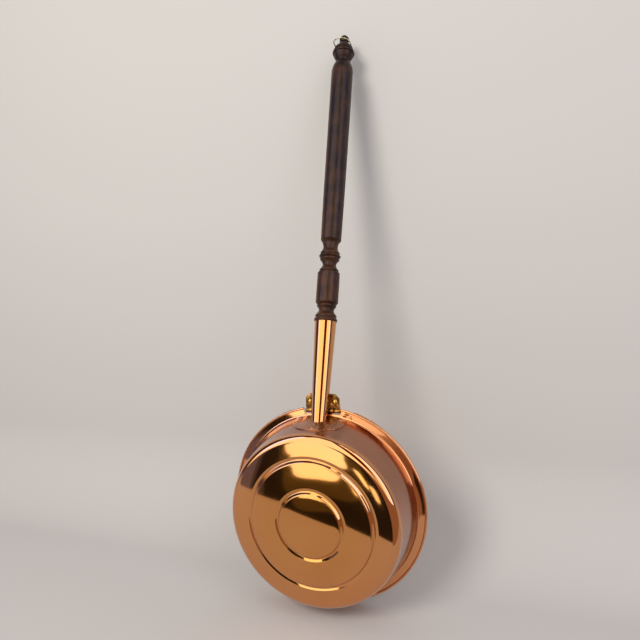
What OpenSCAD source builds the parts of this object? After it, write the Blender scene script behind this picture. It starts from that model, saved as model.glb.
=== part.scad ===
// Bed warming pan: a copper pan with a hinged lid on a turned wooden handle.
// The pieces are laid out on the bench first: the pan lies on its flat bottom with Z up
// to the lid, and the handle runs out along +Y. upright() then stands the whole thing on
// its rim, handle up, with the middle of the flat bottom as the origin.

/* [Pan] */
// Outside diameter over the rolled rim
rim_d = 280; // [250:1:320]
// Height of the pan from its flat bottom to its rim
pan_depth = 71; // [64:0.5:90]
// Thickness of the copper sheet
sheet = 1.2; // [0.8:0.1:1.6]
// Diameter of the bead rolled into each rim
bead_d = 3.2; // [2.6:0.1:4.4]
// How far each bead is set back from the face of its brim
bead_set = 0.1; // [0.05:0.05:0.4]
// Width of the flat brim, from the wall to the edge of the rim
brim_w = 12.5; // [11.5:0.25:15]
// Lean of the wall outwards, in degrees
wall_lean = 10; // [7:0.5:12]
// Radius of the bend between the wall and the brim
brim_bend = 3; // [2:0.25:4]
// Radius of the bend between the bottom and the wall
base_bend = 10; // [6:0.5:14]
// Diameter of the larger groove pressed into the bottom
outer_groove_d = 171.2; // [140:0.4:190]
// Diameter of the smaller groove pressed into the bottom
inner_groove_d = 89.6; // [60:0.4:110]
// Width of the steep side of a groove, towards the middle
groove_in_w = 3; // [2.8:0.1:5]
// Width of the shallow side of a groove
groove_out_w = 4.4; // [4:0.1:6]
// Height of the step at a groove
step_h = 2.8; // [2:0.1:3.5]
// Depth of a groove, from the zone outside it
groove_h = 1.3; // [0.6:0.1:2]
// Rise of the bottom from one groove to the next
crown_h = 0.6; // [0.3:0.1:2]
// Radius of the bends at the edges of a groove
step_bend = 3; // [2:0.25:3.5]
// Radius of the bend along the bottom of a groove
groove_bend = 2.5; // [1.5:0.25:3]

/* [Lid] */
// Gap between the two brims when the lid is shut
lid_gap = 0.3; // [0.2:0.05:1]
// Height of the lid above its brim
lid_rise = 30; // [22:1:40]
// Width of the lid's brim, from its wall to the edge of its rim
lid_brim_w = 32; // [29:0.5:38]
// How far the lid's wall leans in over its height
lid_lean = 10; // [6:0.5:16]
// Radius of the bend at the top of the lid's wall
lid_bend = 9; // [5:0.5:12]
// Radius of the bend at the foot of the lid's wall
lid_foot_bend = 5; // [3:0.5:7]
// Distance of the larger step inside the foot of the lid's wall
lid_outer_step_in = 34; // [28:0.5:42]
// Distance of the smaller step inside the larger one
lid_inner_step_in = 38; // [30:0.5:46]
// Width of the slope of a step in the lid
lid_step_w = 6.5; // [5:0.5:9]
// Height of a step in the lid
lid_step_h = 3.5; // [2:0.25:5]
// Radius of the bends at the edges of the lid's steps
lid_step_bend = 5; // [2:0.5:7]
// Fall of the lid's top between one step and the next
lid_crown_h = 1.5; // [0.5:0.25:3]
// Number of vent holes
vent_count = 12; // [6:1:16]
// Diameter of a vent hole
vent_d = 5; // [3:0.5:8]
// Distance of the circle of vent holes inside the larger step
vent_in = 19; // [16:0.5:22]
// How far inside the hinge's axis the lid's brim is cut off straight
lid_trim = 1.5; // [1.5:0.25:3]

/* [Ferrule and flange] */
// Lean of the handle towards the lid, in degrees
handle_tilt = 18.9; // [16:0.1:20]
// Depth below the rim at which the handle's axis meets the wall
ferrule_drop = 15.8; // [15:0.1:20]
// Length of the ferrule along its axis
ferrule_len = 135; // [110:0.5:170]
// Diameter of the ferrule at its foot
ferrule_foot_d = 20.4; // [18:0.1:21]
// Diameter of the ferrule at the hinge plate
ferrule_waist_d = 24; // [22:0.1:25]
// Distance of that diameter from the foot
ferrule_waist_at = 37; // [30:1:60]
// Diameter of the ferrule at its mouth
ferrule_top_d = 30.7; // [28:0.1:32]
// Wall thickness of the ferrule
ferrule_wall = 1; // [0.8:0.1:1.6]
// Width of the flange that carries the ferrule
flange_w = 73; // [68:0.5:80]
// Height of the flange
flange_h = 43; // [42:0.5:46]
// Straight part of the flange's sides
flange_side = 11.5; // [8:0.5:14]
// Depth of the flange's top edge below the rim
flange_drop = 4.5; // [4.5:0.25:6]
// Thickness of the flange
flange_t = 1.5; // [1:0.1:2.5]
// Distance of each upper rivet from the middle of the flange
flange_rivet_x = 28.5; // [24:0.5:30]
// Depth of the upper rivets below the rim
flange_rivet_drop = 9.5; // [9:0.25:12]
// Depth of the lower rivet below the rim
low_rivet_drop = 42.5; // [40:0.25:43]

/* [Hinge] */
// Distance of the hinge's axis inside the edge of the rim
hinge_inset = 7; // [6.5:0.25:8]
// Height of the hinge's axis above the pan's rim
hinge_rise = 3; // [2.6:0.1:4]
// Diameter of the hinge's barrel
barrel_d = 7; // [6:0.1:8]
// Length of the hinge's barrel
barrel_len = 50; // [44:1:60]
// Number of knuckles in the barrel
knuckles = 5; // [3:2:7]
// Gap between two knuckles
knuckle_gap = 0.3; // [0.2:0.05:0.6]
// Diameter of the hinge pin
pin_d = 3.5; // [2.5:0.1:4]
// How far the pin stands out of each end of the barrel
pin_proud = 1.5; // [0.5:0.25:2]
// Thickness of the hinge's leaves
leaf_t = 1.5; // [1.2:0.1:2]
// Length of the fixed leaf, from the hinge's axis
fixed_leaf_len = 18; // [16.5:0.5:20]
// Length of the lid's leaf, from the hinge's axis
lid_leaf_len = 20; // [18:0.5:22]
// Width of the hinge plate
plate_w = 49; // [46:0.5:51]
// Length of the hinge plate, from the hinge's axis
plate_len = 24; // [23:0.5:26]
// Thickness of the hinge plate
plate_t = 1.5; // [1.2:0.1:2.5]
// Size of the two cut corners of the hinge plate
plate_corner = 6; // [3:0.5:8]
// Distance of each hinge plate rivet from the middle
plate_rivet_x = 18; // [17:0.25:18.5]
// Distance of the hinge plate rivets from the hinge's axis
plate_rivet_y = 13; // [12:0.5:14]
// Distance of each lid rivet from the middle
lid_rivet_x = 14; // [10:0.5:18]
// Distance of the lid rivets from the hinge's axis
lid_rivet_y = 15; // [14.5:0.25:15.5]

/* [Rivets and screw] */
// Head diameter of the flange and lid rivets
small_head_d = 6.4; // [5:0.1:7]
// Head diameter of the hinge plate rivets
large_head_d = 8; // [6:0.1:8.4]
// Height of a rivet head as a part of its diameter
head_ratio = 0.32; // [0.2:0.01:0.45]
// Shank diameter of the rivets
shank_d = 3; // [2:0.1:3.5]
// Thickness of a rivet's flat tail
tail_t = 0.8; // [0.5:0.1:1.2]
// Distance of the handle screw from the ferrule's mouth
screw_at = 18; // [10:1:40]
// Head diameter of the handle screw
screw_head_d = 6; // [5:0.1:8]
// Shank diameter of the handle screw
screw_shank_d = 2.6; // [2:0.1:3.5]
// Length of the handle screw under its head
screw_len = 11; // [8:0.5:13]

/* [Handle] */
// Length of the tenon inside the ferrule
tenon_len = 66; // [40:1:90]
// Length of the collar that sits on the ferrule
collar_len = 6.2; // [4:0.2:9]
// Diameter of the collar
collar_d = 32.8; // [31.5:0.1:36]
// Length of the bead above the collar
low_bead_len = 5.8; // [4:0.2:8]
// Diameter of the bead above the collar
low_bead_d = 29.5; // [26:0.1:31]
// Length of the cove above that bead
low_cove_len = 8.3; // [6:0.2:12]
// Diameter of that cove
low_cove_d = 21.4; // [17:0.1:23]
// Length of the bead under the drum
drum_bead_len = 4.9; // [3:0.2:7]
// Diameter of the beads at the two ends of the drum
drum_bead_d = 27.4; // [25:0.1:29]
// Length of the drum between its two shoulders
drum_len = 42.8; // [30:0.1:60]
// Diameter of the drum
drum_d = 31.9; // [29:0.1:34]
// Length of each shoulder of the drum
drum_shoulder_len = 2.8; // [2:0.1:5]
// Length of the bead above the drum
neck_bead_len = 4.4; // [3:0.2:6]
// Length of the cove above the drum
mid_cove_len = 10.8; // [8:0.1:14]
// Diameter of that cove
mid_cove_d = 19.5; // [16:0.1:22]
// Length of the beads beside the ring bead
side_bead_len = 5.8; // [4:0.1:8]
// Diameter of the beads beside the ring bead
side_bead_d = 27.8; // [26:0.1:29]
// Length of the ring bead in the middle of the turnings
ring_bead_len = 4.1; // [3:0.1:6]
// Diameter of the ring bead
ring_bead_d = 31.2; // [29:0.1:33]
// Length of the cove under the grip
top_cove_len = 12.2; // [8:0.1:15]
// Diameter of that cove
top_cove_d = 21; // [17:0.1:22.5]
// Length of the cone that opens to the grip
grip_cone_len = 4.5; // [3:0.1:8]
// Diameter of the grip at its lower end
grip_low_d = 29.6; // [26:0.1:31]
// Diameter of the grip in its middle
grip_mid_d = 32; // [28:0.1:34]
// Diameter of the grip at its upper end
grip_top_d = 33.1; // [29:0.1:36]
// Length of the grip
grip_len = 276; // [200:1:320]
// Length of the shoulder above the grip
shoulder_len = 15.5; // [10:0.1:20]
// Diameter at the top of that shoulder
shoulder_d = 23.4; // [22:0.1:27]
// Length of the neck under the bulb
neck_len = 3.8; // [2:0.1:6]
// Diameter of the neck
neck_d = 19.5; // [16:0.1:21]
// Length of the bulb, up to its groove
bulb_len = 19.6; // [14:0.1:24]
// Largest diameter of the bulb
bulb_d = 34.2; // [32:0.1:37]
// Width of the groove above the bulb
groove_w = 1.6; // [1:0.1:2.4]
// Diameter beside the groove
groove_d = 28.6; // [26:0.1:30]
// Length of the cone above the groove, which the ring's hole goes through
cone_len = 8.6; // [7:0.1:11]
// Diameter of the cone at the hole
cone_d = 21.5; // [19:0.1:23]
// Length of the neck under the knob
knob_neck_len = 3; // [2:0.1:5]
// Diameter of the knob
knob_d = 13.9; // [12:0.1:15]
// Height of the knob
knob_len = 13.2; // [9:0.1:15]

/* [Hanging ring] */
// Wire diameter of the hanging ring
wire_d = 1.8; // [1.4:0.1:2.4]
// Reach of the ring from its hole, to the middle of its wire
ring_reach = 24.5; // [24.5:0.25:30]
// Rise of the ring above level, as it leans forward in the photo, in degrees
ring_lean = 11; // [5:1:25]
// Radius of the bends where the ring leaves the wood
ring_bend = 1.4; // [1.2:0.1:3]
// Straight wire between the wood and each of those bends
ring_side_gap = 0.1; // [0.05:0.05:1]

/* [Fits] */
// Gap between two seated faces of one body
seat = 0.05; // [0.02:0.01:0.1]
// Radial clearance of a pin or shank in its hole
running = 0.05; // [0.02:0.01:0.09]
// Radial clearance of the ring's wire in its hole
ring_play = 0.2; // [0.15:0.05:0.4]
// Clearance between the hinge's barrel and the pieces beside it
hinge_clear = 0.6; // [0.4:0.05:1]

/* [Hidden] */
$fn = 72;
bend_steps = 6;        // flats in each bend of the sheet
bead_steps = 16;       // flats around each bead
turn_steps = 8;        // flats in each bead or cove of the handle
past = 1;              // how far a cut runs past the face that it opens
rim_r = rim_d / 2;
bead_r = bead_d / 2;
brim_z = pan_depth - sheet;              // underside of the pan's brim
wall_top_r = rim_r - brim_w;
base_z = 2 * (step_h + crown_h);         // height of the bottom where it meets the wall
lid_z = pan_depth + lid_gap;             // underside of the lid's brim
lid_wall_r = rim_r - lid_brim_w;
lid_outer_step_r = lid_wall_r - lid_outer_step_in;
lid_inner_step_r = lid_outer_step_r - lid_inner_step_in;
barrel_r = barrel_d / 2;
hinge_y = rim_r - hinge_inset;
hinge_z = pan_depth + hinge_rise;
notch_y = hinge_y - barrel_r - hinge_clear;                   // edge of both hinge notches
notch_w = barrel_len + 2 * (pin_proud + hinge_clear);
foot_z = pan_depth - ferrule_drop;
foot_y = wall_r(foot_z);
knuckle_len = barrel_len / knuckles;
screw_s = ferrule_len - screw_at;
screw_r = ferrule_r(screw_s + screw_head_d / 2);   // the ferrule under the head's upper edge
fixed_leaf_z = hinge_z - leaf_t / 2;
plate_z = fixed_leaf_z - seat;           // back face of the hinge plate
lid_leaf_z = lid_z + sheet + seat;

// The turned handle as rows of [length, diameter at the end, diameter in the middle],
// in order from the ferrule's mouth; a middle wider than both ends makes a bead and a
// narrower one a cove
edge_d = (low_bead_d + low_cove_d) / 2;
TURNINGS = [
    [collar_len, low_bead_d - 0.5, collar_d],
    [low_bead_len, edge_d, low_bead_d + 0.4],
    [low_cove_len, low_cove_d + 2, low_cove_d],
    [drum_bead_len, drum_bead_d - 1.5, drum_bead_d],
    [drum_shoulder_len, drum_d - 0.3, (drum_d + drum_bead_d) / 2],
    [drum_len, drum_d - 0.3, drum_d],
    [drum_shoulder_len, drum_bead_d - 1.5, (drum_d + drum_bead_d) / 2 + 0.6],
    [neck_bead_len, mid_cove_d + 4, drum_bead_d],
    [mid_cove_len, mid_cove_d + 3.5, mid_cove_d],
    [side_bead_len, side_bead_d - 1.4, side_bead_d],
    [ring_bead_len, side_bead_d - 1.4, ring_bead_d],
    [side_bead_len, top_cove_d + 2.6, side_bead_d],
    [top_cove_len, top_cove_d + 2.4, top_cove_d],
    [grip_cone_len, grip_low_d, (grip_low_d + top_cove_d + 2.4) / 2],
    [grip_len / 2, grip_mid_d, (grip_low_d + grip_mid_d) / 2 + 0.4],
    [grip_len / 2, grip_top_d, (grip_mid_d + grip_top_d) / 2 + 0.1],
    [shoulder_len, shoulder_d, (grip_top_d + shoulder_d) / 2 + 1.6],
    [neck_len / 4, neck_d + 0.4, (shoulder_d + neck_d) / 2],
    [neck_len * 3 / 4, neck_d + 0.4, neck_d],
    [bulb_len * 0.65, bulb_d, (neck_d + bulb_d) / 2 + 1.6],
    [bulb_len * 0.35, groove_d + 0.8, (groove_d + bulb_d) / 2 + 1.3],
    [groove_w, groove_d, groove_d - 1.6]
];
CONE = [cone_len, knob_d + 1.8, cone_d];
KNOB_NECK = [knob_neck_len, knob_d, knob_d - 0.6];
hole_s = ferrule_len + total(TURNINGS) + cone_len / 2;   // the ring's hole, from the foot
ring_half_w = cone_d / 2 + ring_side_gap + ring_bend;

COPPER = [0.80, 0.46, 0.28];
BRASS = [0.74, 0.56, 0.28];
WOOD = [0.26, 0.13, 0.09];

// ---- outlines ----

// Outside radius of the pan's wall at height z
function wall_r(z) = wall_top_r - (brim_z - z) * tan(wall_lean);

// Outside radius of the flange at height z
function flange_r(z) = wall_r(z) + (seat + flange_t) / cos(wall_lean);

// Sum of the lengths of the rows of a turning
function total(rows, i = 0) = i == len(rows) ? 0 : rows[i][0] + total(rows, i + 1);

// Unit vector from a to b
function unit(a, b) = (b - a) / norm(b - a);

// Arc of radius r that rounds the corner b between a and c
function arc(a, b, c, r) =
    let (u = unit(b, a), v = unit(b, c), half = acos(u * v) / 2, turn = 180 - 2 * half,
         o = b + unit([0, 0], u + v) * r / sin(half),
         p = b + u * r / tan(half) - o, q = b + v * r / tan(half) - o)
    [for (i = [0:bend_steps]) let (t = i / bend_steps)
        o + (p * sin((1 - t) * turn) + q * sin(t * turn)) / sin(turn)];

// A path with each corner rounded to its own radius; 0 leaves the corner sharp
function rounded(path, radii) = [for (i = [0:len(path) - 1])
    each radii[i] > 0 ? arc(path[i - 1], path[i], path[i + 1], radii[i]) : [path[i]]];

// A path moved sideways by t, to the left of its own direction
function moved(path, t) = [for (i = [0:len(path) - 1])
    let (last = len(path) - 1,
         u = i > 0 ? unit(path[i - 1], path[i]) : unit(path[i], path[i + 1]),
         v = i < last ? unit(path[i], path[i + 1]) : u,
         m = unit([0, 0], u + v))
    path[i] + [-m[1], m[0]] * t / (m * u)];

// Closed outline of a sheet of thickness t on the left of a path
function sheet_outline(path, t) =
    let (top = moved(path, t))
    concat(path, [for (i = [len(top) - 1:-1:0]) top[i]]);

// Underside of the pan, from its centre to the middle of its bead
function pan_path() =
    let (inner_r = inner_groove_d / 2, outer_r = outer_groove_d / 2, next = step_h + crown_h)
    rounded(
        [[0, 0],
         [inner_r - groove_in_w, 0],
         [inner_r, step_h + groove_h],
         [inner_r + groove_out_w, step_h],
         [outer_r - groove_in_w, next],
         [outer_r, next + step_h + groove_h],
         [outer_r + groove_out_w, next + step_h],
         [wall_r(base_z), base_z],
         [wall_top_r, brim_z],
         [rim_r - bead_r, brim_z]],
        [0, step_bend, groove_bend, step_bend, step_bend, groove_bend, step_bend, base_bend,
         brim_bend, 0]);

// Underside of the lid, from its centre to the middle of its bead
function lid_path() =
    let (top = lid_z + lid_rise - sheet, mid = top - lid_step_h - lid_crown_h,
         low = mid - lid_step_h - lid_crown_h)
    rounded(
        [[0, top],
         [lid_inner_step_r - lid_step_w / 2, top],
         [lid_inner_step_r + lid_step_w / 2, top - lid_step_h],
         [lid_outer_step_r - lid_step_w / 2, mid],
         [lid_outer_step_r + lid_step_w / 2, mid - lid_step_h],
         [lid_wall_r - lid_lean, low],
         [lid_wall_r, lid_z],
         [rim_r - bead_r, lid_z]],
        [0, lid_step_bend, lid_step_bend, lid_step_bend, lid_step_bend, lid_bend, lid_foot_bend,
         0]);

// Outside radius of the ferrule at distance s from its foot
function ferrule_r(s) =
    s < ferrule_waist_at
    ? ferrule_foot_d / 2 + (ferrule_waist_d - ferrule_foot_d) / 2 * s / ferrule_waist_at
    : ferrule_waist_d / 2 + (ferrule_top_d - ferrule_waist_d) / 2
      * (s - ferrule_waist_at) / (ferrule_len - ferrule_waist_at);

// Points of one turned element from radius r0 at s0, after a row of the turnings
function element(s0, r0, row) = [for (i = [1:turn_steps])
    let (t = i / turn_steps, r1 = row[1] / 2, swell = row[2] / 2 - (r0 + r1) / 2)
    [r0 + (r1 - r0) * t + swell * sin(180 * t), s0 + row[0] * t]];

// Points of a whole turning that starts with radius r at s
function turned(rows, s, r, i = 0) = i == len(rows) ? [] :
    concat(element(s, r, rows[i]), turned(rows, s + rows[i][0], rows[i][1] / 2, i + 1));

// ---- places ----

// Stands the bench model on its rim with the handle up
module upright() {
    rotate([90, 0, 180]) children();
}

// Z along the handle's axis from its foot, -Y on the lid's side
module on_handle() {
    translate([0, foot_y, foot_z]) rotate([handle_tilt - 90, 0, 0]) children();
}

// Z out of the wall at height z, x to one side of the middle
module on_wall(x, z) {
    rotate([0, 0, -asin(x / wall_r(z))])
        translate([0, wall_r(z), z])
            rotate([-90 - wall_lean, 0, 0])
                children();
}

// The places of the three rivets that hold the flange
module at_flange_rivets() {
    for (x = [-flange_rivet_x, flange_rivet_x])
        on_wall(x, pan_depth - flange_rivet_drop) children();
    on_wall(0, pan_depth - low_rivet_drop) children();
}

// A pair of rivets at x each side of the middle and y out from the hinge's axis
module at_pair(x, y, z) {
    for (side = [-1, 1])
        translate([side * x, hinge_y + y, z]) children();
}

// ---- shared shapes ----

// Domed rivet or screw head that stands on z = 0
module domed_head(d) {
    h = d * head_ratio;
    ball_r = (h * h + d * d / 4) / (2 * h);
    intersection() {
        translate([0, 0, h - ball_r]) sphere(ball_r);
        cylinder(d = d, h = h);
    }
}

// Rivet with its head on z = 0 and its tail under a grip of the given thickness
module rivet(head_d, grip) {
    domed_head(head_d);
    translate([0, 0, -grip - tail_t]) cylinder(d = shank_d, h = grip + tail_t + past / 2);
    translate([0, 0, -grip - tail_t]) cylinder(d = shank_d * 1.6, h = tail_t);
}

// Hole for a rivet's shank, run past the sheet on both sides
module shank_hole(depth) {
    translate([0, 0, -depth / 2]) cylinder(d = shank_d + 2 * running, h = depth);
}

// Bead around a rim with the middle of its roll at height z
module bead(z) {
    rotate_extrude() translate([rim_r - bead_r, z])
        polygon([for (i = [1:bead_steps])
            bead_r * [cos(i * 360 / bead_steps), sin(i * 360 / bead_steps)]]);
}

// Room for the hinge's barrel in a brim
module hinge_notch() {
    translate([-notch_w / 2, notch_y, pan_depth - bead_d - past])
        cube([notch_w, rim_r - notch_y + past, 2 * (bead_d + past)]);
}

// The solid inside the flange's outer face, which the ferrule's foot is cut to
module wall_core() {
    rotate_extrude()
        polygon([[0, 0], [flange_r(0) + seat, 0],
                 [flange_r(pan_depth) + seat, pan_depth], [0, pan_depth]]);
}

// The ferrule as a solid, grown by a margin
module ferrule_solid(margin) {
    on_handle() rotate_extrude()
        polygon([[0, -ferrule_foot_d / 2], [ferrule_foot_d / 2 + margin, -ferrule_foot_d / 2],
                 [ferrule_foot_d / 2 + margin, 0],
                 [ferrule_waist_d / 2 + margin, ferrule_waist_at],
                 [ferrule_top_d / 2 + margin, ferrule_len], [0, ferrule_len]]);
}

// Knuckle number i of the barrel, bored for the pin
module knuckle(i) {
    translate([-barrel_len / 2 + i * knuckle_len + knuckle_gap / 2, hinge_y, hinge_z])
        rotate([0, 90, 0]) cylinder(r = barrel_r, h = knuckle_len - knuckle_gap);
}

module pin_bore() {
    translate([-barrel_len / 2 - past, hinge_y, hinge_z])
        rotate([0, 90, 0]) cylinder(r = pin_d / 2 + running, h = barrel_len + 2 * past);
}

// One leaf of the hinge: a plate from the barrel out to len, on side +1 or -1 of the
// axis, with a tongue into each of its knuckles
module leaf(side, w, len, z, first) {
    inner = barrel_r + hinge_clear;
    difference() {
        union() {
            translate([-w / 2, hinge_y + (side > 0 ? inner : -len), z])
                cube([w, len - inner, leaf_t]);
            for (i = [first:2:knuckles - 1]) {
                knuckle(i);
                translate([-barrel_len / 2 + i * knuckle_len + knuckle_gap / 2,
                           hinge_y + (side > 0 ? 0 : -inner - past), z])
                    cube([knuckle_len - knuckle_gap, inner + past, leaf_t]);
            }
        }
        pin_bore();
        // the barrel is round outside its tongues
        translate([-barrel_len, side > 0 ? hinge_y - barrel_d : hinge_y, hinge_z + barrel_r])
            cube([2 * barrel_len, barrel_d, leaf_t]);
    }
}

// ---- the pieces ----

module pan_bowl() {
    color(COPPER) upright() difference() {
        union() {
            rotate_extrude() polygon(sheet_outline(pan_path(), sheet));
            bead(pan_depth - bead_r - bead_set);
        }
        hinge_notch();
        at_flange_rivets() shank_hole(4 * sheet);
    }
}

module lid_shell() {
    color(COPPER) upright() difference() {
        union() {
            rotate_extrude() polygon(sheet_outline(lid_path(), sheet));
            bead(lid_z + bead_r + bead_set);
        }
        hinge_notch();
        translate([-rim_r, hinge_y - lid_trim, pan_depth])
            cube([rim_d, rim_r - hinge_y + lid_trim + past, bead_d + 2 * past]);
        for (i = [0:vent_count - 1])
            rotate([0, 0, (i + 0.5) * 360 / vent_count])
                translate([lid_outer_step_r - vent_in, 0, lid_z])
                    cylinder(d = vent_d, h = lid_rise + past, $fn = 32);
        at_pair(lid_rivet_x, -lid_rivet_y, lid_z) shank_hole(4 * sheet);
    }
}

module ferrule() {
    color(COPPER) upright() difference() {
        ferrule_solid(0);
        on_handle() rotate_extrude()
            polygon([[0, -ferrule_foot_d / 2 - past], [ferrule_foot_d / 2 - ferrule_wall, -ferrule_foot_d / 2 - past],
                     [ferrule_foot_d / 2 - ferrule_wall, 0],
                     [ferrule_waist_d / 2 - ferrule_wall, ferrule_waist_at],
                     [ferrule_top_d / 2 - ferrule_wall, ferrule_len],
                     [ferrule_top_d / 2 - ferrule_wall, ferrule_len + past],
                     [0, ferrule_len + past]]);
        wall_core();
        on_handle() translate([0, 0, screw_s]) rotate([90, 0, 0])
            cylinder(d = screw_shank_d + 2 * running, h = screw_r + past, $fn = 32);
    }
}

module ferrule_flange() {
    top = pan_depth - flange_drop;
    low = top - flange_h;
    inner = seat / cos(wall_lean);
    color(COPPER) upright() difference() {
        intersection() {
            rotate_extrude()
                polygon([[wall_r(low) + inner, low], [flange_r(low), low],
                         [flange_r(top), top], [wall_r(top) + inner, top]]);
            translate([0, rim_r, 0]) rotate([90, 0, 0]) linear_extrude(rim_r / 2)
                polygon(concat([[flange_w / 2, top], [-flange_w / 2, top]],
                    [for (a = [180:6:360])
                        [flange_w / 2 * cos(a),
                         top - flange_side + (flange_h - flange_side) * sin(a)]]));
        }
        at_flange_rivets() shank_hole(4 * (sheet + flange_t));
    }
}

module flange_rivets() {
    color(COPPER) upright() at_flange_rivets()
        translate([0, 0, flange_t + 2 * seat])
            rivet(small_head_d, flange_t + sheet + 3 * seat);
}

module hinge_bracket() {
    half = plate_w / 2;
    start = barrel_r + hinge_clear;
    color(BRASS) upright() difference() {
        translate([0, hinge_y, plate_z - plate_t]) linear_extrude(plate_t)
            polygon([[-half, start], [half, start], [half, plate_len - plate_corner],
                     [half - plate_corner, plate_len], [plate_corner - half, plate_len],
                     [-half, plate_len - plate_corner]]);
        ferrule_solid(seat);
        at_pair(plate_rivet_x, plate_rivet_y, plate_z) shank_hole(4 * plate_t);
    }
}

module hinge_fixed_leaf() {
    color(BRASS) upright() difference() {
        leaf(1, plate_w - 1, fixed_leaf_len, fixed_leaf_z, 0);
        ferrule_solid(seat);
        at_pair(plate_rivet_x, plate_rivet_y, fixed_leaf_z) shank_hole(4 * leaf_t);
    }
}

module hinge_rivets() {
    color(BRASS) upright()
        at_pair(plate_rivet_x, plate_rivet_y, plate_z - plate_t - seat)
            rotate([180, 0, 0]) rivet(large_head_d, plate_t + leaf_t + 3 * seat);
}

module hinge_pin() {
    color(BRASS) upright()
        translate([-barrel_len / 2 - pin_proud, hinge_y, hinge_z])
            rotate([0, 90, 0]) cylinder(d = pin_d, h = barrel_len + 2 * pin_proud);
}

module hinge_lid_leaf() {
    color(BRASS) upright() difference() {
        leaf(-1, barrel_len - 2 * knuckle_len, lid_leaf_len, lid_leaf_z, 1);
        at_pair(lid_rivet_x, -lid_rivet_y, lid_leaf_z) shank_hole(4 * leaf_t);
    }
}

module lid_rivets() {
    color(BRASS) upright()
        at_pair(lid_rivet_x, -lid_rivet_y, lid_leaf_z + leaf_t + seat)
            rivet(small_head_d, leaf_t + sheet + 3 * seat);
}

module handle() {
    tenon_s = ferrule_len - tenon_len;
    tenon_r = ferrule_r(tenon_s) - ferrule_wall - 2 * seat;
    mouth_r = ferrule_top_d / 2 - ferrule_wall - 2 * seat;
    knob_s = hole_s + cone_len / 2 + knob_neck_len;
    color(WOOD) upright() on_handle() difference() {
        rotate_extrude() polygon(concat(
            [[0, tenon_s], [tenon_r, tenon_s], [mouth_r, ferrule_len],
             [ferrule_top_d / 2, ferrule_len]],
            turned(concat(TURNINGS, [CONE, KNOB_NECK]), ferrule_len, ferrule_top_d / 2),
            [for (a = [10:10:90]) [knob_d / 2 * cos(a), knob_s + knob_len * sin(a)]]));
        translate([-bulb_d, 0, hole_s]) rotate([0, 90, 0])
            cylinder(d = wire_d + 2 * ring_play, h = 2 * bulb_d, $fn = 32);
        translate([0, seat - screw_r + screw_len + past, screw_s])
            rotate([90, 0, 0])
                cylinder(d = screw_shank_d + 2 * running, h = screw_len + 2 * past, $fn = 32);
    }
}

module handle_screw() {
    color(BRASS) upright() on_handle()
        translate([0, -screw_r - seat, screw_s]) rotate([90, 0, 0]) {
            difference() {
                domed_head(screw_head_d);
                translate([-screw_head_d, -screw_head_d / 12, screw_head_d * head_ratio * 0.6])
                    cube([2 * screw_head_d, screw_head_d / 6, screw_head_d]);
            }
            translate([0, 0, -screw_len]) cylinder(d = screw_shank_d, h = screw_len + past / 2);
        }
}

// The ring is a wire loop whose straight side runs through the hole in the finial
module hanging_ring() {
    side_len = ring_reach - ring_half_w - ring_bend;
    bar = ring_half_w - ring_bend;
    color(BRASS) upright()
        translate([0, foot_y + hole_s * cos(handle_tilt), foot_z + hole_s * sin(handle_tilt)])
            rotate([ring_lean - 90, 0, 0]) {
                translate([-bar, 0, 0]) rotate([0, 90, 0])
                    cylinder(d = wire_d, h = 2 * bar, $fn = 32);
                translate([0, ring_reach - ring_half_w, 0])
                    rotate_extrude(angle = 180)
                        translate([ring_half_w, 0]) circle(d = wire_d, $fn = 32);
                for (side = [0, 1]) mirror([side, 0, 0]) {
                    translate([bar, ring_bend, 0]) rotate([0, 0, -90])
                        rotate_extrude(angle = 90)
                            translate([ring_bend, 0]) circle(d = wire_d, $fn = 32);
                    translate([ring_half_w, ring_bend, 0]) rotate([-90, 0, 0])
                        cylinder(d = wire_d, h = side_len, $fn = 32);
                }
            }
}

pan_bowl();
lid_shell();
ferrule();
ferrule_flange();
flange_rivets();
hinge_bracket();
hinge_fixed_leaf();
hinge_rivets();
hinge_pin();
hinge_lid_leaf();
lid_rivets();
handle();
handle_screw();
hanging_ring();
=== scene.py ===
"""Bed warming pan: the looks of the copper pan and lid, the brass hinge and the turned handle.

Shapes are worked out on the bench in millimetres, the pan on its flat bottom with Z up to the
lid and the handle along +Y, and BENCH then stands them in the frame, in metres.
"""
import math

import bmesh
import bpy
from mathutils import Matrix, Vector


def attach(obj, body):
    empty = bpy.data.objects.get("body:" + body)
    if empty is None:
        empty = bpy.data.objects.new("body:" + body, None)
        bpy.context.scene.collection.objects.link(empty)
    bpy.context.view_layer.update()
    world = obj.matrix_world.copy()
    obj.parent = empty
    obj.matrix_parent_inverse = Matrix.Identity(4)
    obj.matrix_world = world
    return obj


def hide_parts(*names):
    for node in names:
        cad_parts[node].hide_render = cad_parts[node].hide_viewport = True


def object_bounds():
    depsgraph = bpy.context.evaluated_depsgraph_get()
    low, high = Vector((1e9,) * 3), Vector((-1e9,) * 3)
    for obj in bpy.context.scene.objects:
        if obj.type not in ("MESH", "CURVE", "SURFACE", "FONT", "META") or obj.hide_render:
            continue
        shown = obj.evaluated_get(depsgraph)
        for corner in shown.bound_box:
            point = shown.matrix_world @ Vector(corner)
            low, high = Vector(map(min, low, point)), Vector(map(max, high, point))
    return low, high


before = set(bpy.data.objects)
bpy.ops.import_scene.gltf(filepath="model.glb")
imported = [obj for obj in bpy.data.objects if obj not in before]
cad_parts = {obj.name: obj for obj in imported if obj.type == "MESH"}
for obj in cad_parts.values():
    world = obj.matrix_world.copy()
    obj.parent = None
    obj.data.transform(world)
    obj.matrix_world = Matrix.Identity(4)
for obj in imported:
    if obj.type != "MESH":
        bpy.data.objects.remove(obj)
cad_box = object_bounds()
scene = bpy.context.scene
scene.view_settings.view_transform = "Standard"

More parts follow.
